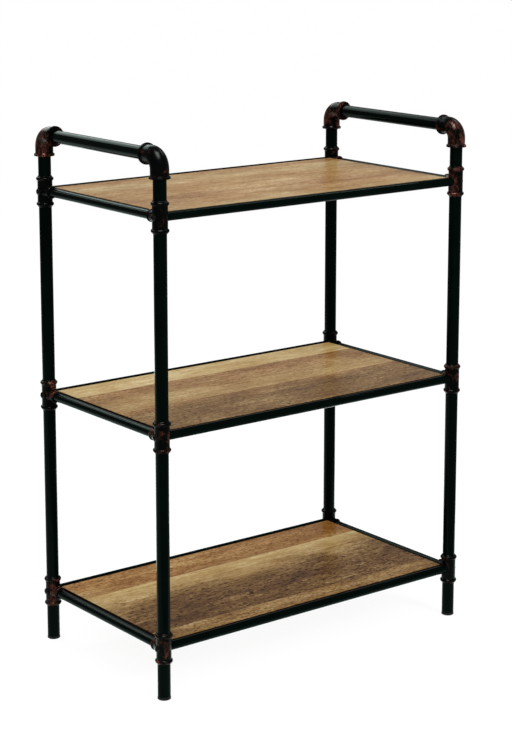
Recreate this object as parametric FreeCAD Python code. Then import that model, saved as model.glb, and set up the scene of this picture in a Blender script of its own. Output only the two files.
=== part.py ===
import FreeCAD, Part
import math
import os

from FreeCAD import Vector

# Three-tier pipe shelving unit. Millimetres, +Z up, the front towards -Y.
# The origin is on the floor, at the middle of the four feet.

# Posts: round steel tube, in lengths between the fittings
post_tube_od = 22.0
post_tube_wall = 1.2
post_spacing_x = 634.0
post_spacing_y = 342.0
post_socket_clearance = 0.15

# Rails: thinner round steel tube, long ones along X and short ones along Y
rail_tube_od = 15.0
rail_tube_wall = 1.0
rail_socket_clearance = 0.1

# Heights to the axis of the rails, from the floor up, and from the top rails to the handles
first_shelf_height = 88.0
shelf_pitch = 357.0
handle_rise = 97.0

# Tee fittings: a cast run with a bead near each end and a hub on one side
fitting_wall = 1.6
fitting_bead_rise = 2.2
fitting_bead_width = 6.6
fitting_bead_spacing = 43.5
fitting_neck_wall = 1.1
fitting_neck_length = 1.6
fitting_mouth_chamfer = 0.6
fitting_core_wall = 2.9

# Hub on the side of each tee, which takes a short rail
hub_length = 11.8
hub_wall = 1.8
hub_root_rise = 1.6
hub_bead_rise = 1.3
hub_bead_width = 4.6
hub_mouth_wall = 1.6
hub_flare_share = 0.86
socket_partition_wall = 3.45
long_rail_setback = 2.0

# Elbows: cast bends with a lip round each mouth
elbow_wall = 4.15
elbow_bend_radius = 21.0
elbow_collar_length = 15.0
elbow_lip_rise = 2.2
elbow_lip_width = 3.6
elbow_lip_round = 1.2
elbow_lip_flare = 2.0
elbow_socket_depth = 14.0

# Plugs in the feet
foot_flange_height = 5.0
foot_edge_round = 2.4
foot_stem_height = 16.0
foot_stem_clearance = 0.1

# Boards between the rails, resting on lugs that are welded to the long rails
board_thickness = 10.0
board_gap_long_side = 2.0
board_gap_short_side = 4.0
board_corner_gap = 3.0
board_edge_round = 0.7
lug_drop = 3.5
lug_thickness = 2.0
lug_width = 20.0
lug_end_distance = 90.0
lugs_per_rail = 3

# Screws that hold the boards down through the lugs
board_screw_inset = 8.0
board_screw_od = 3.5
board_screw_hole_clearance = 0.15
board_screw_head_od = 7.6
board_screw_head_height = 2.4
board_screw_grip = 7.0
board_screw_tip = 1.5
board_pilot_spare = 0.6

# Bolts that pull the long rails into the fittings, and the nuts in the rail ends
rail_bolt_hole_clearance = 0.2
rail_bolt_thread_clearance = 0.05
rail_bolt_head_overhang = 2.75
rail_bolt_head_rim = 2.4
rail_bolt_head_crown = 2.2
rail_bolt_spotface_depth = 0.9
rail_bolt_spotface_margin = 0.6
rail_bolt_key_width = 4.0
rail_bolt_key_depth = 2.4
rail_screw_head_overhang = 2.5
rail_screw_head_sink = 3.2
rail_screw_crown = 0.5
rail_nut_wall = 3.45
rail_nut_length = 14.0
rail_nut_clearance = 0.05

# One overrun for every cut, and turns in degrees
cut_overrun = 2.0
full_turn = 360.0
hex_corners = 6

# What follows from the sizes above
post_r = post_tube_od / 2
post_bore_r = post_r - post_tube_wall
post_socket_r = post_r + post_socket_clearance
rail_r = rail_tube_od / 2
rail_bore_r = rail_r - rail_tube_wall
rail_socket_r = rail_r + rail_socket_clearance
fitting_body_r = post_socket_r + fitting_wall
fitting_bead_z = fitting_bead_spacing / 2
fitting_half = fitting_bead_z + fitting_bead_width / 2 + fitting_neck_length
fitting_core_half = rail_socket_r + fitting_core_wall
hub_reach = fitting_body_r + hub_length
elbow_body_r = post_socket_r + elbow_wall
elbow_reach = elbow_bend_radius + elbow_collar_length
elbow_seat = elbow_reach - elbow_socket_depth
side_rail_end = rail_socket_r + socket_partition_wall
rail_nut_r = rail_bore_r - rail_nut_clearance
rail_bolt_r = rail_nut_r - rail_nut_wall
rail_bolt_head_r = rail_bolt_r + rail_bolt_head_overhang
rail_screw_head_r = rail_bolt_r + rail_screw_head_overhang
bolt_seat = fitting_body_r - rail_bolt_spotface_depth
lug_screw_offset = rail_r + board_gap_long_side + board_screw_inset

shelf_heights = {
    "bottom": first_shelf_height,
    "middle": first_shelf_height + shelf_pitch,
    "top": first_shelf_height + 2 * shelf_pitch,
}
handle_height = shelf_heights["top"] + handle_rise
posts = {
    "front_left": (-1, -1),
    "front_right": (1, -1),
    "back_left": (-1, 1),
    "back_right": (1, 1),
}

X_AXIS = Vector(1, 0, 0)
Y_AXIS = Vector(0, 1, 0)
Z_AXIS = Vector(0, 0, 1)
ORIGIN = Vector(0, 0, 0)


def post_axis(side_x, side_y, height):
    """The point on a post's axis at a height above the floor."""
    return Vector(side_x * post_spacing_x / 2, side_y * post_spacing_y / 2, height)


def line(start, end):
    return Part.LineSegment(start, end).toShape()


def arc(start, middle, end):
    return Part.Arc(start, middle, end).toShape()


def corner_arc(start, corner, end):
    """A quarter round between two points whose edges would meet at the corner."""
    chord_middle = (start + end) / 2
    bulge_share = 2 * (math.sqrt(2) - 1)
    return arc(start, chord_middle + (corner - chord_middle) * bulge_share, end)


def sag_middle(half_chord, rise):
    """Halfway along an arc that levels out at its top: how far out it is, and how far up."""
    radius = (half_chord ** 2 + rise ** 2) / (2 * rise)
    half_turn = math.asin(half_chord / radius) / 2
    return radius * math.sin(half_turn), rise - radius * (1 - math.cos(half_turn))


def turned(edges, axis):
    """A solid of revolution from a closed half section."""
    return Part.Face(Part.Wire(edges)).revolve(ORIGIN, axis, full_turn)


def tube(outer_r, inner_r, start, end):
    """A round tube between two points."""
    run = end - start
    outside = Part.makeCylinder(outer_r, run.Length, start, run)
    inside = Part.makeCylinder(inner_r, run.Length, start, run)
    return outside.cut(inside)


# Tee fittings

def tee_run():
    """The upright body of a tee: a straight waist, a round bead near each end, a short neck."""
    neck = post_socket_r + fitting_neck_wall
    bead = fitting_body_r + fitting_bead_rise
    inner = fitting_bead_z - fitting_bead_width / 2
    outer = fitting_bead_z + fitting_bead_width / 2
    mouth = neck - fitting_mouth_chamfer
    rim = fitting_half - fitting_mouth_chamfer

    def at(radius, height):
        return Vector(radius, 0, height)

    edges = [line(at(0, -fitting_half), at(mouth, -fitting_half))]
    edges.append(line(at(mouth, -fitting_half), at(neck, -rim)))
    edges.append(line(at(neck, -rim), at(neck, -outer)))
    edges.append(arc(at(neck, -outer), at(bead, -fitting_bead_z), at(fitting_body_r, -inner)))
    edges.append(line(at(fitting_body_r, -inner), at(fitting_body_r, inner)))
    edges.append(arc(at(fitting_body_r, inner), at(bead, fitting_bead_z), at(neck, outer)))
    edges.append(line(at(neck, outer), at(neck, rim)))
    edges.append(line(at(neck, rim), at(mouth, fitting_half)))
    edges.append(line(at(mouth, fitting_half), at(0, fitting_half)))
    edges.append(line(at(0, fitting_half), at(0, -fitting_half)))
    return turned(edges, Z_AXIS)


def tee_hub(towards):
    """The side hub: it flares out of the run and ends in a smaller bead round the rail."""
    neck = rail_socket_r + hub_wall
    root = neck + hub_root_rise
    bead = neck + hub_bead_rise
    mouth = rail_socket_r + hub_mouth_wall
    bead_start = hub_reach - hub_bead_width
    flare_start = fitting_body_r * hub_flare_share
    along, up = sag_middle(bead_start - flare_start, hub_root_rise)

    def at(radius, distance):
        return Vector(radius, towards * distance, 0)

    edges = [line(at(0, 0), at(root, 0))]
    edges.append(line(at(root, 0), at(root, flare_start)))
    edges.append(arc(at(root, flare_start), at(root - up, bead_start - along), at(neck, bead_start)))
    edges.append(arc(at(neck, bead_start), at(bead, hub_reach - hub_bead_width / 2), at(mouth, hub_reach)))
    edges.append(line(at(mouth, hub_reach), at(0, hub_reach)))
    edges.append(line(at(0, hub_reach), at(0, 0)))
    return turned(edges, Y_AXIS)


def tee_fitting(side_x, side_y):
    """One tee at the origin: post sockets up and down, a long rail inwards, a short rail along Y."""
    inward_x = -side_x
    inward_y = -side_y
    body = tee_run().fuse(tee_hub(inward_y))
    post_socket_depth = fitting_half - fitting_core_half + cut_overrun
    bolt_hole_r = rail_bolt_r + rail_bolt_hole_clearance
    bolt_run = fitting_body_r + cut_overrun + long_rail_setback
    outer_face = Vector(side_x * (fitting_body_r + cut_overrun), 0, 0)
    cuts = []
    for up in (-1, 1):
        shoulder = Vector(0, 0, up * fitting_core_half)
        cuts.append(Part.makeCylinder(post_socket_r, post_socket_depth, shoulder, Z_AXIS * up))
    long_socket = Vector(inward_x * long_rail_setback, 0, 0)
    long_run = fitting_body_r + cut_overrun
    cuts.append(Part.makeCylinder(rail_socket_r, long_run, long_socket, X_AXIS * inward_x))
    short_socket = Vector(0, inward_y * side_rail_end, 0)
    cuts.append(Part.makeCylinder(rail_socket_r, hub_reach + cut_overrun, short_socket, Y_AXIS * inward_y))
    cuts.append(Part.makeCylinder(bolt_hole_r, bolt_run, outer_face, X_AXIS * inward_x))
    cuts.append(bolt_seat_cut(side_x, outer_face))
    return body.cut(cuts).removeSplitter()


def bolt_seat_cut(side_x, outer_face):
    """A flat spot face for the domed bolts on the left, a countersink for the screws on the right."""
    inwards = X_AXIS * -side_x
    if side_x < 0:
        spot_r = rail_bolt_head_r + rail_bolt_spotface_margin
        return Part.makeCylinder(spot_r, rail_bolt_spotface_depth + cut_overrun, outer_face, inwards)
    head_r = rail_screw_head_r + rail_bolt_hole_clearance
    shank_r = rail_bolt_r + rail_bolt_hole_clearance
    rim = Vector(side_x * fitting_body_r, 0, 0)
    cone = Part.makeCone(head_r, shank_r, rail_screw_head_sink, rim, inwards)
    return cone.fuse(Part.makeCylinder(head_r, cut_overrun, outer_face, inwards))


# Elbows and handles

def bend_path(towards, reach):
    """The centre line of an elbow: up from the post, round the bend, then along Y."""
    radius = elbow_bend_radius
    centre = Vector(0, towards * radius, -radius)
    crown = centre + Vector(0, -towards, 1).normalize() * radius
    lower = Vector(0, 0, -radius)
    upper = Vector(0, towards * radius, 0)
    edges = [line(Vector(0, 0, -reach), lower)]
    edges.append(arc(lower, crown, upper))
    edges.append(line(upper, Vector(0, towards * reach, 0)))
    return Part.Wire(edges)


def bent_rod(radius, towards, reach):
    """A solid round rod along the elbow's centre line."""
    section = Part.Wire(Part.makeCircle(radius, Vector(0, 0, -reach), Z_AXIS))
    return bend_path(towards, reach).makePipeShell([section], True, False)


def elbow_lip(direction):
    """The rounded lip and its flare at one mouth, turned about the mouth's own axis."""
    side = Vector(1, 0, 0)
    body = elbow_body_r
    lip = elbow_body_r + elbow_lip_rise
    top = elbow_reach - elbow_lip_width

    def at(radius, distance):
        return side * radius + direction * distance

    edges = [line(at(0, elbow_reach), at(lip - elbow_lip_round, elbow_reach))]
    edges.append(corner_arc(
        at(lip - elbow_lip_round, elbow_reach), at(lip, elbow_reach), at(lip, elbow_reach - elbow_lip_round)))
    edges.append(line(at(lip, elbow_reach - elbow_lip_round), at(lip, top + elbow_lip_round)))
    edges.append(corner_arc(
        at(lip, top + elbow_lip_round), at(lip, top), at(lip - elbow_lip_round, top)))
    edges.append(line(at(lip - elbow_lip_round, top), at(body, top - elbow_lip_flare)))
    edges.append(line(at(body, top - elbow_lip_flare), at(0, top - elbow_lip_flare)))
    edges.append(line(at(0, top - elbow_lip_flare), at(0, elbow_reach)))
    return turned(edges, direction)


def elbow(side_y):
    """One elbow at the origin: a hollow bend from the post below to the handle along Y."""
    towards = -side_y
    mouths = (Z_AXIS * -1, Y_AXIS * towards)
    body = bent_rod(elbow_body_r, towards, elbow_reach)
    body = body.fuse([elbow_lip(mouth) for mouth in mouths])
    cuts = [bent_rod(post_bore_r, towards, elbow_reach + cut_overrun)]
    for mouth in mouths:
        seat = mouth * elbow_seat
        cuts.append(Part.makeCylinder(post_socket_r, elbow_socket_depth + cut_overrun, seat, mouth))
    return body.cut(cuts).removeSplitter()


# Feet

def foot_plug():
    """A moulded plug: a flange with a rounded lower edge, and a stem inside the leg tube."""
    stem = post_bore_r - foot_stem_clearance
    top = foot_flange_height + foot_stem_height

    def at(radius, height):
        return Vector(radius, 0, height)

    edges = [line(at(0, 0), at(post_r - foot_edge_round, 0))]
    edges.append(corner_arc(at(post_r - foot_edge_round, 0), at(post_r, 0), at(post_r, foot_edge_round)))
    edges.append(line(at(post_r, foot_edge_round), at(post_r, foot_flange_height)))
    edges.append(line(at(post_r, foot_flange_height), at(stem, foot_flange_height)))
    edges.append(line(at(stem, foot_flange_height), at(stem, top)))
    edges.append(line(at(stem, top), at(0, top)))
    edges.append(line(at(0, top), at(0, 0)))
    return turned(edges, Z_AXIS)


# Boards, lugs and screws

def lug_places(height):
    """Where the lug screws stand: along the front and the back rail, at the lug's upper face."""
    last = post_spacing_x / 2 - lug_end_distance
    step = 2 * last / (lugs_per_rail - 1)
    offset = post_spacing_y / 2 - lug_screw_offset
    places = []
    for side_y in (-1, 1):
        for index in range(lugs_per_rail):
            places.append((side_y, Vector(index * step - last, side_y * offset, height - lug_drop)))
    return places


def shelf_board(height):
    """A board with its corners cut round the fittings and pilot holes for the screws."""
    length = post_spacing_x - rail_tube_od - 2 * board_gap_short_side
    depth = post_spacing_y - rail_tube_od - 2 * board_gap_long_side
    underside = height - lug_drop
    upper = underside + board_thickness
    board = Part.makeBox(length, depth, board_thickness, Vector(-length / 2, -depth / 2, underside))
    notch_r = fitting_body_r + board_corner_gap
    cuts = []
    for side_x, side_y in posts.values():
        foot = post_axis(side_x, side_y, underside - cut_overrun)
        cuts.append(Part.makeCylinder(notch_r, board_thickness + 2 * cut_overrun, foot))
    board = board.cut(cuts).removeSplitter()
    rims = [edge for edge in board.Edges if all(abs(v.Z - upper) < board_edge_round for v in edge.Vertexes)]
    board = board.makeFillet(board_edge_round, rims)
    pilot_r = board_screw_od / 2 + board_screw_hole_clearance
    pilot_depth = board_screw_grip + board_pilot_spare
    pilots = [Part.makeCylinder(pilot_r, pilot_depth, place) for _, place in lug_places(height)]
    return board.cut(pilots)


def lug(side_y, place, height):
    """A flat lug welded to the inside of a long rail, round about its screw hole."""
    half = lug_width / 2
    rail_y = side_y * post_spacing_y / 2
    low = place.z - lug_thickness
    centre = Vector(place.x, place.y, low)
    root_left = Vector(place.x - half, rail_y, low)
    root_right = Vector(place.x + half, rail_y, low)
    tip_left = Vector(place.x - half, place.y, low)
    tip_right = Vector(place.x + half, place.y, low)
    nose = centre + Vector(0, -side_y * half, 0)
    edges = [line(root_left, tip_left), arc(tip_left, nose, tip_right)]
    edges.append(line(tip_right, root_right))
    edges.append(line(root_right, root_left))
    plate = Part.Face(Part.Wire(edges)).extrude(Vector(0, 0, lug_thickness))
    rail = Part.makeCylinder(rail_r, lug_width + 2 * cut_overrun,
                             Vector(root_left.x - cut_overrun, rail_y, height), X_AXIS)
    hole = Part.makeCylinder(board_screw_od / 2 + board_screw_hole_clearance,
                             lug_thickness + 2 * cut_overrun, centre - Z_AXIS * cut_overrun)
    trimmed = plate.cut([rail, hole])
    return max(trimmed.Solids, key=lambda solid: solid.Volume)


def board_screw(place):
    """A pan-head wood screw driven up through a lug into the board."""
    shank = board_screw_od / 2
    head = board_screw_head_od / 2
    seat = -lug_thickness
    crown = seat - board_screw_head_height
    root = board_screw_grip - board_screw_tip
    out, up = sag_middle(head, board_screw_head_height)

    def at(radius, height):
        return Vector(radius, 0, height)

    edges = [arc(at(0, crown), at(out, seat - up), at(head, seat))]
    edges.append(line(at(head, seat), at(shank, seat)))
    edges.append(line(at(shank, seat), at(shank, root)))
    edges.append(line(at(shank, root), at(0, board_screw_grip)))
    edges.append(line(at(0, board_screw_grip), at(0, crown)))
    screw = turned(edges, Z_AXIS)
    screw.translate(place)
    return screw


# Bolts and nuts of the long rails

def key_recess(outer_x, side_x):
    """The hexagon socket in the head of a bolt or screw."""
    corner_r = rail_bolt_key_width / 2 / math.cos(math.pi / hex_corners)
    corners = []
    for index in range(hex_corners):
        turn = 2 * math.pi * index / hex_corners
        corners.append(Vector(outer_x, corner_r * math.cos(turn), corner_r * math.sin(turn)))
    corners.append(corners[0])
    face = Part.Face(Part.makePolygon(corners))
    return face.extrude(X_AXIS * (-side_x * rail_bolt_key_depth))


def bolt_end():
    """How far inwards of the post's axis a bolt's shank ends: most of the way through its nut."""
    return long_rail_setback + rail_nut_length - rail_bolt_r


def left_rail_bolt(place):
    """A domed socket bolt: its head sits on the spot face on the outer side of a left tee."""
    head = rail_bolt_head_r
    shank = rail_bolt_r - rail_bolt_thread_clearance
    rim = bolt_seat + rail_bolt_head_rim
    crown = rim + rail_bolt_head_crown
    out, up = sag_middle(head, rail_bolt_head_crown)

    def at(radius, distance):
        return Vector(-distance, radius, 0)

    edges = [line(at(0, -bolt_end()), at(shank, -bolt_end()))]
    edges.append(line(at(shank, -bolt_end()), at(shank, bolt_seat)))
    edges.append(line(at(shank, bolt_seat), at(head, bolt_seat)))
    edges.append(line(at(head, bolt_seat), at(head, rim)))
    edges.append(arc(at(head, rim), at(out, rim + up), at(0, crown)))
    edges.append(line(at(0, crown), at(0, -bolt_end())))
    bolt = turned(edges, X_AXIS)
    bolt = bolt.cut(key_recess(-crown, -1))
    bolt.translate(place)
    return bolt


def right_rail_screw(place):
    """A countersunk socket screw, nearly flush with the outer side of a right tee."""
    head = rail_screw_head_r
    shank = rail_bolt_r - rail_bolt_thread_clearance
    neck = fitting_body_r - rail_screw_head_sink
    crown = fitting_body_r + rail_screw_crown
    out, up = sag_middle(head, rail_screw_crown)

    def at(radius, distance):
        return Vector(distance, radius, 0)

    edges = [line(at(0, -bolt_end()), at(shank, -bolt_end()))]
    edges.append(line(at(shank, -bolt_end()), at(shank, neck)))
    edges.append(line(at(shank, neck), at(head, fitting_body_r)))
    edges.append(arc(at(head, fitting_body_r), at(out, fitting_body_r + up), at(0, crown)))
    edges.append(line(at(0, crown), at(0, -bolt_end())))
    screw = turned(edges, X_AXIS)
    screw = screw.cut(key_recess(crown, 1))
    screw.translate(place)
    return screw


def rail_nut(side_x, place):
    """A round nut pressed into the end of a long rail."""
    start = place + Vector(-side_x * long_rail_setback, 0, 0)
    end = start + Vector(-side_x * rail_nut_length, 0, 0)
    return tube(rail_nut_r, rail_bolt_r, start, end)


# The whole unit

def build():
    """Every piece in its place, by name."""
    pieces = {}
    bolts = []
    screws = []
    nuts = []
    board_screws = []
    heights = list(shelf_heights.values())

    for name, (side_x, side_y) in posts.items():
        plug = foot_plug()
        plug.translate(post_axis(side_x, side_y, 0))
        pieces[name + "_foot_plug"] = plug
        stops = [foot_flange_height]
        for height in heights:
            stops += [height - fitting_core_half, height + fitting_core_half]
        stops.append(handle_height - elbow_seat)
        runs = ("leg_tube", "lower_post", "upper_post", "riser_tube")
        for run, low, high in zip(runs, stops[0::2], stops[1::2]):
            start = post_axis(side_x, side_y, low)
            pieces[name + "_" + run] = tube(post_r, post_bore_r, start, post_axis(side_x, side_y, high))
        fitting = tee_fitting(side_x, side_y)
        for level, height in shelf_heights.items():
            place = post_axis(side_x, side_y, height)
            pieces[name + "_tee_" + level] = fitting.translated(place)
            nuts.append(rail_nut(side_x, place))
            if side_x < 0:
                bolts.append(left_rail_bolt(place))
            else:
                screws.append(right_rail_screw(place))
        pieces[name + "_elbow"] = elbow(side_y).translated(post_axis(side_x, side_y, handle_height))

    for side, side_x in (("left", -1), ("right", 1)):
        half = post_spacing_y / 2 - elbow_seat
        middle = Vector(side_x * post_spacing_x / 2, 0, handle_height)
        reach = Vector(0, half, 0)
        pieces[side + "_handle_tube"] = tube(post_r, post_bore_r, middle - reach, middle + reach)
        half = post_spacing_y / 2 - side_rail_end
        reach = Vector(0, half, 0)
        for level, height in shelf_heights.items():
            middle = Vector(side_x * post_spacing_x / 2, 0, height)
            pieces[side + "_rail_" + level] = tube(rail_r, rail_bore_r, middle - reach, middle + reach)

    for side, side_y in (("front", -1), ("back", 1)):
        reach = Vector(post_spacing_x / 2 - long_rail_setback, 0, 0)
        for level, height in shelf_heights.items():
            middle = Vector(0, side_y * post_spacing_y / 2, height)
            pieces[side + "_rail_" + level] = tube(rail_r, rail_bore_r, middle - reach, middle + reach)

    for level, height in shelf_heights.items():
        pieces["shelf_board_" + level] = shelf_board(height)
        places = lug_places(height)
        lugs = [lug(side_y, place, height) for side_y, place in places]
        pieces["board_lugs_" + level] = Part.makeCompound(lugs)
        board_screws += [board_screw(place) for _, place in places]

    pieces["board_screws"] = Part.makeCompound(board_screws)
    pieces["left_rail_bolts"] = Part.makeCompound(bolts)
    pieces["right_rail_screws"] = Part.makeCompound(screws)
    pieces["rail_end_nuts"] = Part.makeCompound(nuts)
    return pieces


os.makedirs("parts", exist_ok=True)
for node, shape in build().items():
    shape.exportStep("parts/" + node + ".step")
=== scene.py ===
import math

import bmesh
import bpy
from mathutils import Matrix, Vector


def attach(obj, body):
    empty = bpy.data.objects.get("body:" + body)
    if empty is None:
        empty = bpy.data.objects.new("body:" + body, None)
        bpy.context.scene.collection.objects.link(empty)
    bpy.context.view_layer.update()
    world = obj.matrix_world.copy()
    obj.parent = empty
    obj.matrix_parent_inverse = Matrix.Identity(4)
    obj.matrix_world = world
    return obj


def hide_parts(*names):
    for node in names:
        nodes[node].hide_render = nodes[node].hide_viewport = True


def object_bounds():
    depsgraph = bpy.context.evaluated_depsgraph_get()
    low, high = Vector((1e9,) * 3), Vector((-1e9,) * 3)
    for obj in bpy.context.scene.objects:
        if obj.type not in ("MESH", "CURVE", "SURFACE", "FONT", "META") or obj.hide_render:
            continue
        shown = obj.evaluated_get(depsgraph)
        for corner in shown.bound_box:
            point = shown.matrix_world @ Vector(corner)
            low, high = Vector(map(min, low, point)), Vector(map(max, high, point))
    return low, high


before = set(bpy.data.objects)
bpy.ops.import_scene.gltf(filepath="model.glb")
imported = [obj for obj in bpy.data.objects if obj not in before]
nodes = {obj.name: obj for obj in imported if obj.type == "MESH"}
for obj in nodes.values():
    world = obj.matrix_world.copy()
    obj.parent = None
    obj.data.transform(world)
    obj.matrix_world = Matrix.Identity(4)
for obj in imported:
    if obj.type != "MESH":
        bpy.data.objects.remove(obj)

cad_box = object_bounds()

# Legs, posts, risers and handles
# Round steel tube, cut to length and pushed into the cast fittings. It is sprayed a satin black with a
# faint green cast, and handling has left fine rub marks along it.


def add(tree, kind, inputs=None, **settings):
    """One node, with its settings, and its inputs set to a value or linked to a socket."""
    made = tree.nodes.new(kind)
    for name, value in settings.items():
        setattr(made, name, value)
    for socket, value in (inputs or {}).items():
        if isinstance(value, bpy.types.NodeSocket):
            tree.links.new(value, made.inputs[socket])
        else:
            made.inputs[socket].default_value = value
    return made


def finish_for(name):
    """An empty finish: its tree, its shader and the piece's own coordinates in metres."""
    material = bpy.data.materials.new(name)
    material.use_nodes = True
    tree = material.node_tree
    shader = tree.nodes["Principled BSDF"]
    place = add(tree, "ShaderNodeTexCoord").outputs["Object"]
    return material, tree, shader, place


def stretched(tree, place, scales, offset=(0.0, 0.0, 0.0)):
    """Coordinates scaled apart on each axis, for grain and streaks."""
    return add(tree, "ShaderNodeMapping", {"Vector": place, "Location": offset, "Scale": scales}).outputs[0]


def cloud(tree, place, scale, detail=3.0, roughness=0.5, distortion=0.0):
    """Noise between 0 and 1, about a half."""
    inputs = {
        "Vector": place, "Scale": scale, "Detail": detail,
        "Roughness": roughness, "Distortion": distortion,
    }
    return add(tree, "ShaderNodeTexNoise", inputs).outputs["Fac"]


def sums(tree, operation, first, second=0.0, third=0.0, clamp=False):
    """One step of arithmetic on values or sockets."""
    inputs = {0: first, 1: second, 2: third}
    return add(tree, "ShaderNodeMath", inputs, operation=operation, use_clamp=clamp).outputs[0]


def spread(tree, value, low, high, to_low=0.0, to_high=1.0):
    """A value mapped from one range to another, and held at its ends."""
    inputs = {"Value": value, "From Min": low, "From Max": high, "To Min": to_low, "To Max": to_high}
    return add(tree, "ShaderNodeMapRange", inputs).outputs[0]


def tint(tree, share, first, second):
    """Two colours mixed by a share."""
    return add(tree, "ShaderNodeMix", {0: share, 6: first, 7: second}, data_type="RGBA").outputs[2]


def relief(tree, shader, height, depth, strength):
    """Fine relief on the surface, depth in metres."""
    bump = add(tree, "ShaderNodeBump", {"Height": height, "Distance": depth, "Strength": strength})
    tree.links.new(bump.outputs[0], shader.inputs["Normal"])


def black_paint(name, along):
    """Satin black spray paint on tube. Along is the tube's axis: faint rub marks run that way."""
    material, tree, shader, place = finish_for(name)
    deep_black = (0.0002, 0.0014, 0.0009, 1.0)
    soft_black = (0.0008, 0.0031, 0.0022, 1.0)
    rubbed_black = (0.004, 0.008, 0.007, 1.0)
    rubs_across, rubs_along = 420.0, 9.0
    most_worn = 0.35
    rub_scales = [rubs_across] * 3
    rub_scales[along] = rubs_along
    mottle = cloud(tree, place, 26.0, detail=4.0)
    rubs = cloud(tree, stretched(tree, place, rub_scales), 1.0, detail=3.0, roughness=0.6)
    peel = cloud(tree, place, 900.0, detail=2.0)
    colour = tint(tree, mottle, deep_black, soft_black)
    worn = spread(tree, rubs, 0.62, 0.8, 0.0, most_worn)
    colour = tint(tree, worn, colour, rubbed_black)
    satin = spread(tree, mottle, 0.3, 0.7, 0.12, 0.18)
    dulled = spread(tree, rubs, 0.3, 0.8, 0.0, 0.04)
    tree.links.new(colour, shader.inputs["Base Color"])
    tree.links.new(sums(tree, "ADD", satin, dulled), shader.inputs["Roughness"])
    shader.inputs["Specular IOR Level"].default_value = 0.006
    shader.inputs["Specular Tint"].default_value = (0.88, 1.0, 0.95, 1.0)
    relief(tree, shader, peel, depth=0.00002, strength=0.5)
    return material


def dress(node, material):
    """A node of the model takes a finish."""
    slots = nodes[node].data.materials
    slots.clear()
    slots.append(material)


upright_paint = black_paint("black_paint_upright", 2)
cross_paint = black_paint("black_paint_front_to_back", 1)
posts = [end + "_" + side for end in ("front", "back") for side in ("left", "right")]
for post in posts:
    for run in ("leg_tube", "lower_post", "upper_post", "riser_tube"):
        dress(post + "_" + run, upright_paint)
for side in ("left", "right"):
    dress(side + "_handle_tube", cross_paint)

# Foot plugs
# Black moulded plastic, pushed up into the open end of each leg. The lower edge is rounded, and the
# moulding has a fine sandy grain that scuffs paler where it meets the floor.


def foot_moulding():
    """Black plastic with a sandy grain, scuffed low down."""
    material, tree, shader, place = finish_for("foot_moulding")
    black = (0.004, 0.0045, 0.0045, 1.0)
    dusty_black = (0.009, 0.0095, 0.0095, 1.0)
    scuffed_grey = (0.05, 0.048, 0.045, 1.0)
    scuff_height = 0.003
    scuff_share = 0.5
    grain = cloud(tree, place, 1600.0, detail=3.0, roughness=0.7)
    height = add(tree, "ShaderNodeSeparateXYZ", {0: place}).outputs["Z"]
    low_down = spread(tree, height, 0.0, scuff_height, 1.0, 0.0)
    scuff = sums(tree, "MULTIPLY", low_down, cloud(tree, place, 240.0, detail=4.0))
    colour = tint(tree, grain, black, dusty_black)
    colour = tint(tree, sums(tree, "MULTIPLY", scuff, scuff_share), colour, scuffed_grey)
    tree.links.new(colour, shader.inputs["Base Color"])
    tree.links.new(spread(tree, grain, 0.2, 0.8, 0.48, 0.66), shader.inputs["Roughness"])
    shader.inputs["Specular IOR Level"].default_value = 0.12
    relief(tree, shader, grain, depth=0.00006, strength=0.5)
    return material


foot_finish = foot_moulding()
for post in posts:
    dress(post + "_foot_plug", foot_finish)

# Tees and elbows
# Iron castings, painted black and rubbed by hand with copper-brown wax, which takes on the beads, the lips
# and the outer bends in patches, more on some castings than on others. The tubes seat in their sockets.

# How far the wax spreads, and its colour on the raised grit
wax_amounts = {"little": -0.09, "some": -0.04, "much": 0.02, "most": 0.09}
wax_copper = {
    "little": (0.080, 0.026, 0.018, 1.0), "some": (0.100, 0.030, 0.021, 1.0),
    "much": (0.150, 0.050, 0.034, 1.0), "most": (0.140, 0.044, 0.031, 1.0),
}
# How much of it a casting has: little, where it isn't named
wax_on = {
    "front_right_tee_top": "most", "front_right_elbow": "much", "back_right_elbow": "much",
    "back_right_tee_top": "much", "back_left_elbow": "much",
    "front_left_tee_top": "some", "front_left_tee_middle": "much", "front_left_tee_bottom": "much",
    "front_right_tee_middle": "much", "front_right_tee_bottom": "some",
    "back_right_tee_middle": "some", "back_left_tee_middle": "much", "back_left_tee_bottom": "much",
}


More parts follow.
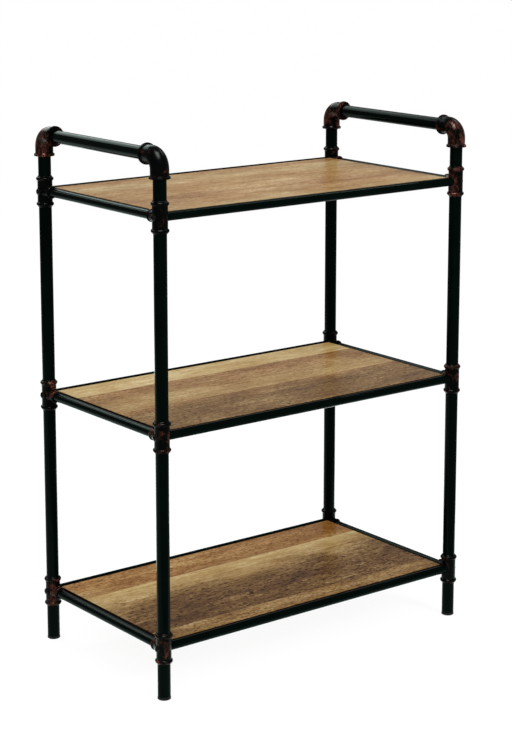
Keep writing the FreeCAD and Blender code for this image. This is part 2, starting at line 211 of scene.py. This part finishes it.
def cast_patina(amount):
    """Black paint on a sandy casting, with patches of copper-brown wax."""
    material, tree, shader, place = finish_for("cast_patina_" + amount)
    deep_black = (0.0004, 0.0009, 0.0007, 1.0)
    dusty_black = (0.0016, 0.0018, 0.0015, 1.0)
    thin_copper = (0.036, 0.009, 0.007, 1.0)
    post_x, post_y = 0.317, 0.171
    body_r, bead_r = 0.0128, 0.0148
    bead_share, grit_share, sand_share = 0.05, 0.24, 0.4
    wax_shift = (11.9, 8.3, 6.4)
    wax_starts, wax_full = 0.54, 0.86
    wax_metal = 0.2
    axes = add(tree, "ShaderNodeSeparateXYZ", {0: place})
    off_x = sums(tree, "SUBTRACT", sums(tree, "ABSOLUTE", axes.outputs["X"]), post_x)
    off_y = sums(tree, "SUBTRACT", sums(tree, "ABSOLUTE", axes.outputs["Y"]), post_y)
    from_axis = add(tree, "ShaderNodeCombineXYZ", {0: off_x, 1: off_y, 2: 0.0}).outputs[0]
    reach = add(tree, "ShaderNodeVectorMath", {0: from_axis}, operation="LENGTH").outputs["Value"]
    raised = spread(tree, reach, body_r, bead_r)
    patch_place = stretched(tree, place, (52.0, 52.0, 44.0), wax_shift)
    patches = cloud(tree, patch_place, 1.0, detail=5.0, roughness=0.6, distortion=0.5)
    grit = cloud(tree, place, 330.0, detail=4.0, roughness=0.65)
    sand = cloud(tree, place, 1100.0, detail=3.0, roughness=0.6)
    rub = sums(tree, "ADD", patches, sums(tree, "MULTIPLY", raised, bead_share))
    rub = sums(tree, "ADD", rub, sums(tree, "MULTIPLY", sums(tree, "SUBTRACT", grit, 0.5), grit_share))
    rub = sums(tree, "ADD", rub, wax_amounts[amount])
    rub = spread(tree, rub, wax_starts, wax_full)
    black = tint(tree, grit, deep_black, dusty_black)
    copper = tint(tree, spread(tree, grit, 0.35, 0.7), thin_copper, wax_copper[amount])
    tree.links.new(tint(tree, rub, black, copper), shader.inputs["Base Color"])
    tree.links.new(sums(tree, "MULTIPLY", rub, wax_metal), shader.inputs["Metallic"])
    tree.links.new(spread(tree, grit, 0.25, 0.75, 0.17, 0.30), shader.inputs["Roughness"])
    shader.inputs["Specular IOR Level"].default_value = 0.008
    shader.inputs["Specular Tint"].default_value = (0.95, 1.0, 0.97, 1.0)
    surface = sums(tree, "ADD", grit, sums(tree, "MULTIPLY", sand, sand_share))
    relief(tree, shader, surface, depth=0.0002, strength=0.6)
    return material


casting_finishes = {amount: cast_patina(amount) for amount in wax_amounts}
for post in posts:
    for fitting in ("tee_bottom", "tee_middle", "tee_top", "elbow"):
        casting = post + "_" + fitting
        dress(casting, casting_finishes[wax_on.get(casting, "little")])

# Rails and lugs
# Thinner steel tube in the same black paint: long rails along the front and the back, short rails at the
# ends. Flat lugs are welded inside the long rails, under the boards, with a short rippled bead each.

shelf_count = 3
shelf_pitch = 0.357
first_shelf = 0.088
rail_spacing = 0.342
lug_columns = 3
lug_rows = 2
lug_spacing = 0.227


def turned(name, rows, sides):
    """A closed mesh turned about Z. Each row is a height and a radius, or a rule for the radius by turn."""
    shape = bmesh.new()
    rings = []
    for height, radius in rows:
        ring = []
        for index in range(sides):
            turn = 2.0 * math.pi * index / sides
            out = radius(turn) if callable(radius) else radius
            ring.append(shape.verts.new((out * math.cos(turn), out * math.sin(turn), height)))
        rings.append(ring)
    for lower, upper in zip(rings, rings[1:]):
        for index in range(sides):
            after = (index + 1) % sides
            shape.faces.new((lower[index], lower[after], upper[after], upper[index]))
    shape.faces.new(list(reversed(rings[0])))
    shape.faces.new(rings[-1])
    bmesh.ops.recalc_face_normals(shape, faces=shape.faces)
    for face in shape.faces:
        face.smooth = len(face.verts) == 4
    mesh = bpy.data.meshes.new(name)
    shape.to_mesh(mesh)
    shape.free()
    piece = bpy.data.objects.new(name, mesh)
    bpy.context.scene.collection.objects.link(piece)
    return piece


def set_out_tree():
    """A tree that sets out copies of one piece in columns, rows and levels, each turned at random."""
    tree = bpy.data.node_groups.new("set_out", "GeometryNodeTree")
    kinds = {
        "Piece": "NodeSocketObject", "Finish": "NodeSocketMaterial", "First place": "NodeSocketVector",
        "Columns": "NodeSocketInt", "Column spacing": "NodeSocketFloat", "Rows": "NodeSocketInt",
        "Row spacing": "NodeSocketFloat", "Levels": "NodeSocketInt", "Level spacing": "NodeSocketFloat",
        "Most turn": "NodeSocketFloat", "Seed": "NodeSocketInt",
    }
    keys = {}
    for name, kind in kinds.items():
        keys[name] = tree.interface.new_socket(name, in_out="INPUT", socket_type=kind).identifier
    tree.interface.new_socket("Geometry", in_out="OUTPUT", socket_type="NodeSocketGeometry")
    given = add(tree, "NodeGroupInput").outputs
    points = None
    runs = (("Columns", "Column spacing"), ("Rows", "Row spacing"), ("Levels", "Level spacing"))
    for axis, (count, spacing) in enumerate(runs):
        step = add(tree, "ShaderNodeCombineXYZ", {axis: given[spacing]}).outputs[0]
        line = add(tree, "GeometryNodeMeshLine", {"Count": given[count], "Offset": step}).outputs[0]
        if points is None:
            points = line
        else:
            spots = add(tree, "GeometryNodeInstanceOnPoints", {"Points": points, "Instance": line})
            points = add(tree, "GeometryNodeRealizeInstances", {0: spots.outputs[0]}).outputs[0]
    moved = add(tree, "GeometryNodeSetPosition", {"Geometry": points, "Offset": given["First place"]})
    piece = add(tree, "GeometryNodeObjectInfo", {"Object": given["Piece"]}).outputs["Geometry"]
    limits = {3: given["Most turn"], "Seed": given["Seed"]}
    turn = add(tree, "FunctionNodeRandomValue", limits, data_type="FLOAT").outputs[1]
    about = add(tree, "ShaderNodeCombineXYZ", {2: turn}).outputs[0]
    inputs = {"Points": moved.outputs[0], "Instance": piece, "Rotation": about}
    copies = add(tree, "GeometryNodeInstanceOnPoints", inputs).outputs[0]
    whole = add(tree, "GeometryNodeRealizeInstances", {0: copies}).outputs[0]
    coated = add(tree, "GeometryNodeSetMaterial", {"Geometry": whole, "Material": given["Finish"]}).outputs[0]
    add(tree, "NodeGroupOutput", {0: coated})
    return tree, keys


set_out, set_out_keys = set_out_tree()


def settled(piece):
    """A piece takes on what its modifiers make of it, and the modifiers go."""
    bpy.context.view_layer.update()
    depsgraph = bpy.context.evaluated_depsgraph_get()
    mesh = bpy.data.meshes.new_from_object(piece.evaluated_get(depsgraph), depsgraph=depsgraph)
    piece.modifiers.clear()
    piece.data = mesh


def set_out_copies(name, pattern, finish, sizes):
    """Copies of a pattern piece as one mesh. The pattern itself is then thrown away."""
    piece = bpy.data.objects.new(name, bpy.data.meshes.new(name))
    bpy.context.scene.collection.objects.link(piece)
    modifier = piece.modifiers.new("set_out", "NODES")
    modifier.node_group = set_out
    for size, value in {"Piece": pattern, "Finish": finish, **sizes}.items():
        modifier[set_out_keys[size]] = value
    settled(piece)
    bpy.data.objects.remove(pattern)
    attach(piece, "root")
    return piece


long_paint = black_paint("black_paint_left_to_right", 0)
for level in ("bottom", "middle", "top"):
    for end in ("front", "back"):
        dress(end + "_rail_" + level, long_paint)
    for side in ("left", "right"):
        dress(side + "_rail_" + level, cross_paint)
    dress("board_lugs_" + level, long_paint)

weld_length = 0.015
weld_r = 0.0016
weld_end_r = 0.0002
weld_bluntness = 6
weld_ripples = 8
weld_ripple_share = 0.09
weld_steps = 4 * weld_ripples
weld_sides = 14
weld_in = 0.0062
weld_drop = 0.0058
weld_rows = []
for index in range(weld_steps + 1):
    along = index / weld_steps
    swell = math.sqrt(max(1.0 - (2.0 * along - 1.0) ** weld_bluntness, 0.0))
    ripple = 1.0 + weld_ripple_share * math.cos(2.0 * math.pi * weld_ripples * along)
    weld_rows.append(((along - 0.5) * weld_length, max(weld_r * swell * ripple, weld_end_r)))
weld = turned("weld", weld_rows, weld_sides)
weld.data.transform(Matrix.Rotation(math.pi / 2.0, 4, "Y"))
welds = set_out_copies("lug_welds", weld, long_paint, {
    "First place": (-lug_spacing, -rail_spacing / 2.0 + weld_in, first_shelf - weld_drop),
    "Columns": lug_columns, "Column spacing": lug_spacing, "Rows": lug_rows,
    "Row spacing": rail_spacing - 2.0 * weld_in, "Levels": shelf_count, "Level spacing": shelf_pitch,
    "Most turn": 0.0, "Seed": 1,
})

# Bolts, screws and nuts of the long rails
# Domed black bolts pull the left ends of the long rails into their tees, and countersunk ones the right
# ends. Both turn into round plated nuts that are pressed into the ends of the rails.


def metal(name, dark, light, roughness, metallic):
    """Plated or blackened steel, finely worn."""
    material, tree, shader, place = finish_for(name)
    wear = cloud(tree, place, 420.0, detail=4.0, roughness=0.6)
    tree.links.new(tint(tree, wear, dark, light), shader.inputs["Base Color"])
    tree.links.new(spread(tree, wear, 0.3, 0.7, roughness, roughness + 0.12), shader.inputs["Roughness"])
    shader.inputs["Metallic"].default_value = metallic
    shader.inputs["Specular IOR Level"].default_value = 0.015
    relief(tree, shader, wear, depth=0.00004, strength=0.4)
    return material


black_oxide = metal("black_oxide", (0.002, 0.002, 0.002, 1.0), (0.008, 0.007, 0.006, 1.0), 0.28, 0.15)
plated = metal("plated_steel", (0.42, 0.42, 0.40, 1.0), (0.60, 0.60, 0.57, 1.0), 0.26, 1.0)
dress("left_rail_bolts", black_oxide)
dress("right_rail_screws", black_oxide)
dress("rail_end_nuts", plated)

# Boards
# Ten-millimetre board with a print of rustic planks under a thin satin lacquer, and black edges. Each shelf
# shows three planks with their own grain: pale sapwood, brown heartwood that darkens across a plank, pores.

wood_tones = {
    "cream": (0.376, 0.249, 0.100, 1.0),
    "sand": (0.344, 0.195, 0.067, 1.0),
    "rose": (0.316, 0.172, 0.061, 1.0),
    "gold": (0.479, 0.338, 0.135, 1.0),
    "honey": (0.335, 0.208, 0.069, 1.0),
    "amber": (0.225, 0.125, 0.036, 1.0),
    "chestnut": (0.269, 0.126, 0.028, 1.0),
    "brown": (0.272, 0.141, 0.041, 1.0),
    "walnut": (0.182, 0.099, 0.028, 1.0),
    "umber": (0.122, 0.058, 0.014, 1.0),
}
# Each plank's front and back edge, and its tones from the front to the back
shelf_planks = {
    "top": [
        (-0.162, -0.062, ("cream", "sand", "rose")),
        (-0.062, 0.100, ("rose", "sand", "sand", "sand", "cream")),
        (0.100, 0.162, ("cream", "sand", "rose")),
    ],
    "middle": [
        (-0.162, -0.031, ("walnut", "walnut", "walnut", "brown")),
        (-0.031, 0.097, ("honey", "honey", "brown", "brown")),
        (0.097, 0.162, ("gold", "gold")),
    ],
    "bottom": [
        (-0.162, -0.122, ("amber", "amber")),
        (-0.122, 0.082, ("umber", "umber", "umber", "walnut", "honey", "gold")),
        (0.082, 0.162, ("chestnut", "chestnut")),
    ],
}
# Where in the grain each shelf's first plank is cut
shelf_slices = {"bottom": 1.7, "middle": 5.3, "top": 9.1}


def plank_print(level, roughly, sheen):
    """The print of one shelf: how much sawn texture its dark planks have, and how the lacquer shines."""
    material, tree, shader, place = finish_for("plank_print_" + level)
    edge_black = (0.006, 0.005, 0.0045, 1.0)
    joint_half = 0.0006
    tone_drift = 0.042
    slice_spacing = 1.3
    darkest, palest = 0.06, 0.24
    dark_sheen_share = 0.65
    planks = shelf_planks[level]
    front, back = planks[0][0], planks[-1][1]
    axes = add(tree, "ShaderNodeSeparateXYZ", {0: place})
    along, across = axes.outputs["X"], axes.outputs["Y"]
    behind = {start: sums(tree, "GREATER_THAN", across, start) for start, _, _ in planks[1:]}
    plank = shelf_slices[level]
    for past in behind.values():
        plank = sums(tree, "ADD", plank, past)
    grain_place = add(tree, "ShaderNodeCombineXYZ", {0: along, 1: across, 2: plank}).outputs[0]

    def grain(lengthways, crossways, **noise):
        """Noise drawn out along the planks, cut from another slice for each plank."""
        scales = (lengthways, crossways, slice_spacing)
        return cloud(tree, stretched(tree, grain_place, scales), 1.0, **noise)

    drift = grain(5.5, 6.0, detail=3.0)
    kept = sums(tree, "ADD", across, spread(tree, drift, 0.2, 0.8, -tone_drift, tone_drift))
    for joint, past in behind.items():
        before = sums(tree, "MINIMUM", kept, joint - joint_half)
        after = sums(tree, "MAXIMUM", kept, joint + joint_half)
        kept = add(tree, "ShaderNodeMix", {0: past, 2: before, 3: after}, data_type="FLOAT").outputs[0]
    tones = add(tree, "ShaderNodeValToRGB", {0: spread(tree, kept, front, back)})
    places = []
    for start, end, names in planks:
        low, high = start + joint_half, end - joint_half
        for index, tone in enumerate(names):
            places.append((low + (high - low) * index / (len(names) - 1), wood_tones[tone]))
    stops = tones.color_ramp.elements
    while len(stops) < len(places):
        stops.new(1.0)
    for stop, (spot, tone) in zip(stops, places):
        stop.position = (spot - front) / (back - front)
        stop.color = tone
    brightness = add(tree, "ShaderNodeRGBToBW", {0: tones.outputs[0]}).outputs[0]
    dark = spread(tree, brightness, darkest, palest, 1.0, 0.0)

    figure = grain(7.0, 75.0, detail=5.0, roughness=0.6, distortion=0.5)
    fleck = grain(48.0, 150.0, detail=4.0, roughness=0.7)
    fibre = grain(22.0, 420.0, detail=4.0, roughness=0.65)
    pores = grain(110.0, 330.0, detail=2.0)
    sawn = grain(190.0, 260.0, detail=3.0, roughness=0.6)
    warmth = grain(8.0, 20.0, detail=3.0)
    ticks = sums(tree, "MULTIPLY", spread(tree, pores, 0.55, 0.68), sums(tree, "ADD", dark, 0.35), clamp=True)
    kerfs = sums(tree, "MULTIPLY", spread(tree, sawn, 0.52, 0.72), sums(tree, "MULTIPLY", dark, roughly))
    depth = 0.95
    for noise, share in ((figure, 0.75), (fibre, 0.8), (warmth, 1.1), (fleck, 0.9), (sawn, 0.6)):
        depth = sums(tree, "MULTIPLY_ADD", sums(tree, "SUBTRACT", noise, 0.5), share, depth)
    for marks, share in ((ticks, 0.8), (kerfs, 0.45)):
        depth = sums(tree, "MULTIPLY_ADD", marks, share, depth)
    colour = add(tree, "ShaderNodeGamma", {0: tones.outputs[0], 1: depth}).outputs[0]
    normal = add(tree, "ShaderNodeNewGeometry").outputs["True Normal"]
    upward = add(tree, "ShaderNodeSeparateXYZ", {0: normal}).outputs["Z"]
    edge = spread(tree, sums(tree, "ABSOLUTE", upward), 0.35, 0.6, 1.0, 0.0)
    tree.links.new(tint(tree, edge, colour, edge_black), shader.inputs["Base Color"])
    gloss = sums(tree, "ADD", spread(tree, fibre, 0.3, 0.7, 0.32, 0.40), sums(tree, "MULTIPLY", ticks, 0.12))
    tree.links.new(gloss, shader.inputs["Roughness"])
    shine = spread(tree, dark, 0.0, 1.0, sheen, dark_sheen_share * sheen)
    tree.links.new(shine, shader.inputs["Specular IOR Level"])
    height = sums(tree, "SUBTRACT", sums(tree, "MULTIPLY", fibre, 0.5), sums(tree, "ADD", ticks, kerfs))
    relief(tree, shader, height, depth=0.00012, strength=0.5)
    return material


for level, roughly, sheen in (("bottom", 1.0, 0.035), ("middle", 0.9, 0.032), ("top", 0.2, 0.017)):
    dress("shelf_board_" + level, plank_print(level, roughly, sheen))

# Board screws
# Plated pan-head wood screws with a cross recess, driven up through the lugs into the boards. The heads
# show from below, each left at its own turn.

screw_head_r = 0.0038
screw_head_height = 0.0024
screw_rim_share = 0.28
screw_seat_share = 0.97
screw_crown_r = 0.0003
screw_point_r = 0.0002
screw_core_r = 0.0012
screw_thread = 0.0005
screw_pitch = 0.0016
screw_grip = 0.0070
screw_tip = 0.0020
screw_sides = 24
screw_most_turn = 1.57
screw_row_spacing = 0.307
recess_width = 0.0009
recess_reach = 0.0021
recess_depth = 0.0014
recess_floor_share = 0.45
lug_thickness = 0.0020
lug_top_drop = 0.0035


def thread_at(height):
    """The screw's radius at a height, by turn: one helical ridge."""
    def radius(turn):
        phase = (height / screw_pitch - turn / (2.0 * math.pi)) % 1.0
        return screw_core_r + screw_thread * (1.0 - abs(2.0 * phase - 1.0))
    return radius


def board_screw():
    """One screw, head down, with the lug's upper face at height zero and a cross cut into its head."""
    rows = []
    dome_steps = 8
    for index in range(dome_steps + 1):
        angle = 0.5 * math.pi * index / dome_steps
        radius = max(screw_head_r * math.sin(angle), screw_crown_r)
        drop = screw_head_height * (screw_rim_share + (1.0 - screw_rim_share) * math.cos(angle))
        rows.append((-lug_thickness - drop, radius))
    rows.append((-lug_thickness, screw_head_r * screw_seat_share))
    rows.append((-lug_thickness, screw_core_r + screw_thread))
    thread_steps = 28
    thread_run = screw_grip - screw_tip + lug_thickness
    for index in range(thread_steps + 1):
        height = -lug_thickness + thread_run * index / thread_steps
        rows.append((height, thread_at(height)))
    rows.append((screw_grip, screw_point_r))
    screw = turned("board_screw", rows, screw_sides)
    crown = -lug_thickness - screw_head_height
    cross = bmesh.new()
    for quarter in (0.0, math.pi / 2.0):
        arm = bmesh.ops.create_cube(cross, size=1.0)["verts"]
        for vert in arm:
            taper = 1.0 if vert.co.z < 0.0 else recess_floor_share
            vert.co = (2.0 * recess_reach * vert.co.x * taper, recess_width * vert.co.y * taper,
                       crown + 2.0 * recess_depth * vert.co.z)
        bmesh.ops.rotate(cross, verts=arm, cent=(0.0, 0.0, 0.0), matrix=Matrix.Rotation(quarter, 3, "Z"))
    cross_mesh = bpy.data.meshes.new("cross")
    cross.to_mesh(cross_mesh)
    cross.free()
    cutter = bpy.data.objects.new("cross", cross_mesh)
    bpy.context.scene.collection.objects.link(cutter)
    cut = screw.modifiers.new("recess", "BOOLEAN")
    cut.operation = "DIFFERENCE"
    cut.solver = "EXACT"
    cut.use_self = True
    cut.object = cutter
    settled(screw)
    bpy.data.objects.remove(cutter)
    return screw


screws = set_out_copies("board_screw_set", board_screw(), plated, {
    "First place": (-lug_spacing, -screw_row_spacing / 2.0, first_shelf - lug_top_drop),
    "Columns": lug_columns, "Column spacing": lug_spacing, "Rows": lug_rows, "Row spacing": screw_row_spacing,
    "Levels": shelf_count, "Level spacing": shelf_pitch, "Most turn": screw_most_turn, "Seed": 7,
})
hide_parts("board_screws")

# Floor, light and camera
# A white studio floor that keeps a faint shadow, in white surroundings. Soft boxes light the unit from both
# front sides and the back. Others, and a card on the floor, only show as highlights, most of them greenish.

scene = bpy.context.scene
scene.view_settings.view_transform = "Standard"
pure_white = (1.0, 1.0, 1.0, 1.0)
fill_strength = 0.6


def seen_directly(tree):
    """1 for rays from the camera, from gloss and from glass, 0 for the light on the object."""
    rays = add(tree, "ShaderNodeLightPath")
    either = sums(tree, "MAXIMUM", rays.outputs["Is Camera Ray"], rays.outputs["Is Glossy Ray"])
    return sums(tree, "MAXIMUM", either, rays.outputs["Is Transmission Ray"])


world = bpy.data.worlds.new("white_studio")
world.use_nodes = True
scene.world = world
sky = world.node_tree
sky.nodes.clear()
fill = add(sky, "ShaderNodeBackground", {"Color": pure_white, "Strength": fill_strength})
white = add(sky, "ShaderNodeBackground", {"Color": pure_white, "Strength": 1.0})
sky_mix = add(sky, "ShaderNodeMixShader", {0: seen_directly(sky), 1: fill.outputs[0], 2: white.outputs[0]})
add(sky, "ShaderNodeOutputWorld", {0: sky_mix.outputs[0]})

floor_half = 40.0
floor_grey = (0.9, 0.9, 0.9, 1.0)
floor_glow = 1.06
floor_glow_share = 0.88
floor_mesh = bpy.data.meshes.new("floor")
corners = [(-floor_half, -floor_half, 0.0), (floor_half, -floor_half, 0.0),
           (floor_half, floor_half, 0.0), (-floor_half, floor_half, 0.0)]
floor_mesh.from_pydata(corners, [], [(0, 1, 2, 3)])
floor = bpy.data.objects.new("floor", floor_mesh)
floor.location.z = cad_box[0][2]
scene.collection.objects.link(floor)
floor_paint = bpy.data.materials.new("floor_white")
floor_paint.use_nodes = True
ground = floor_paint.node_tree
ground.nodes.clear()
matte = add(ground, "ShaderNodeBsdfDiffuse", {"Color": floor_grey})
glow = add(ground, "ShaderNodeEmission", {"Color": pure_white, "Strength": floor_glow})
how_white = sums(ground, "MULTIPLY", seen_directly(ground), floor_glow_share)
ground_mix = add(ground, "ShaderNodeMixShader", {0: how_white, 1: matte.outputs[0], 2: glow.outputs[0]})
add(ground, "ShaderNodeOutputMaterial", {0: ground_mix.outputs[0]})
floor_mesh.materials.append(floor_paint)


def pieces_of(name, words):
    """The nodes whose names hold any of some words, for a lamp that is mirrored in those alone."""
    group = bpy.data.collections.new(name)
    for node, piece in nodes.items():
        if any(word in node for word in words):
            group.objects.link(piece)
    return group


def softbox(name, at, towards, size, power, mirrored_in=None, cast=(1.0, 1.0, 1.0)):
    """A lamp facing a point: soft light without highlights, or highlights in some pieces alone."""
    lamp = bpy.data.lights.new(name, "AREA")
    lamp.shape = "RECTANGLE"
    lamp.size, lamp.size_y = size
    lamp.energy = power
    lamp.color = cast
    box = bpy.data.objects.new(name, lamp)
    box.location = at
    box.rotation_euler = (Vector(towards) - Vector(at)).to_track_quat("-Z", "Y").to_euler()
    box.visible_glossy = mirrored_in is not None
    box.visible_diffuse = mirrored_in is None
    box.light_linking.receiver_collection = mirrored_in
    scene.collection.objects.link(box)


castings = pieces_of("castings", ("_tee_", "_elbow", "_bolts"))
painted = pieces_of("painted", ("_tube", "_post", "_rail_", "_tee_", "_elbow"))
green_cast = (0.80, 1.0, 0.93)
unit_low = (0.0, 0.0, 0.4)
unit_high = (0.0, 0.0, 0.7)
softbox("front_left", (-1.9, -1.5, 2.1), unit_low, (1.0, 0.8), 18.0)
softbox("front_right", (0.6, -2.5, 1.9), unit_low, (0.8, 0.8), 42.0)
softbox("back", (-0.25, 2.3, 2.4), unit_high, (1.6, 0.35), 28.0)
softbox("back_strip", (0.05, 2.72, 2.45), (0.05, 2.72, 0.0), (2.3, 2.3), 325.0, painted, green_cast)
softbox("right_strip", (1.15, 0.0, 2.4), unit_high, (0.25, 0.8), 30.0, painted, green_cast)
softbox("floor_card", (-0.6, 0.9, 0.004), (-0.6, 0.9, 3.0), (2.8, 2.6), 105.0, painted, green_cast)
softbox("glint", (-0.7, -0.9, 3.15), unit_high, (1.2, 1.4), 1000.0, castings)

photo_width, photo_height = 512, 742
sensor = 36.0
focal_pixels = 1983.7
lens_shift = -0.15
camera_yaw = math.radians(37.60)
camera_pitch = math.radians(10.69)
camera_data = bpy.data.cameras.new("camera")
camera_data.sensor_width = sensor
camera_data.lens = focal_pixels / max(photo_width, photo_height) * sensor
camera_data.shift_y = lens_shift
camera = bpy.data.objects.new("camera", camera_data)
camera.location = (-2.072, -2.697, 1.314)
camera.rotation_euler = (math.pi / 2.0 - camera_pitch, 0.0, -camera_yaw)
scene.collection.objects.link(camera)
scene.camera = camera
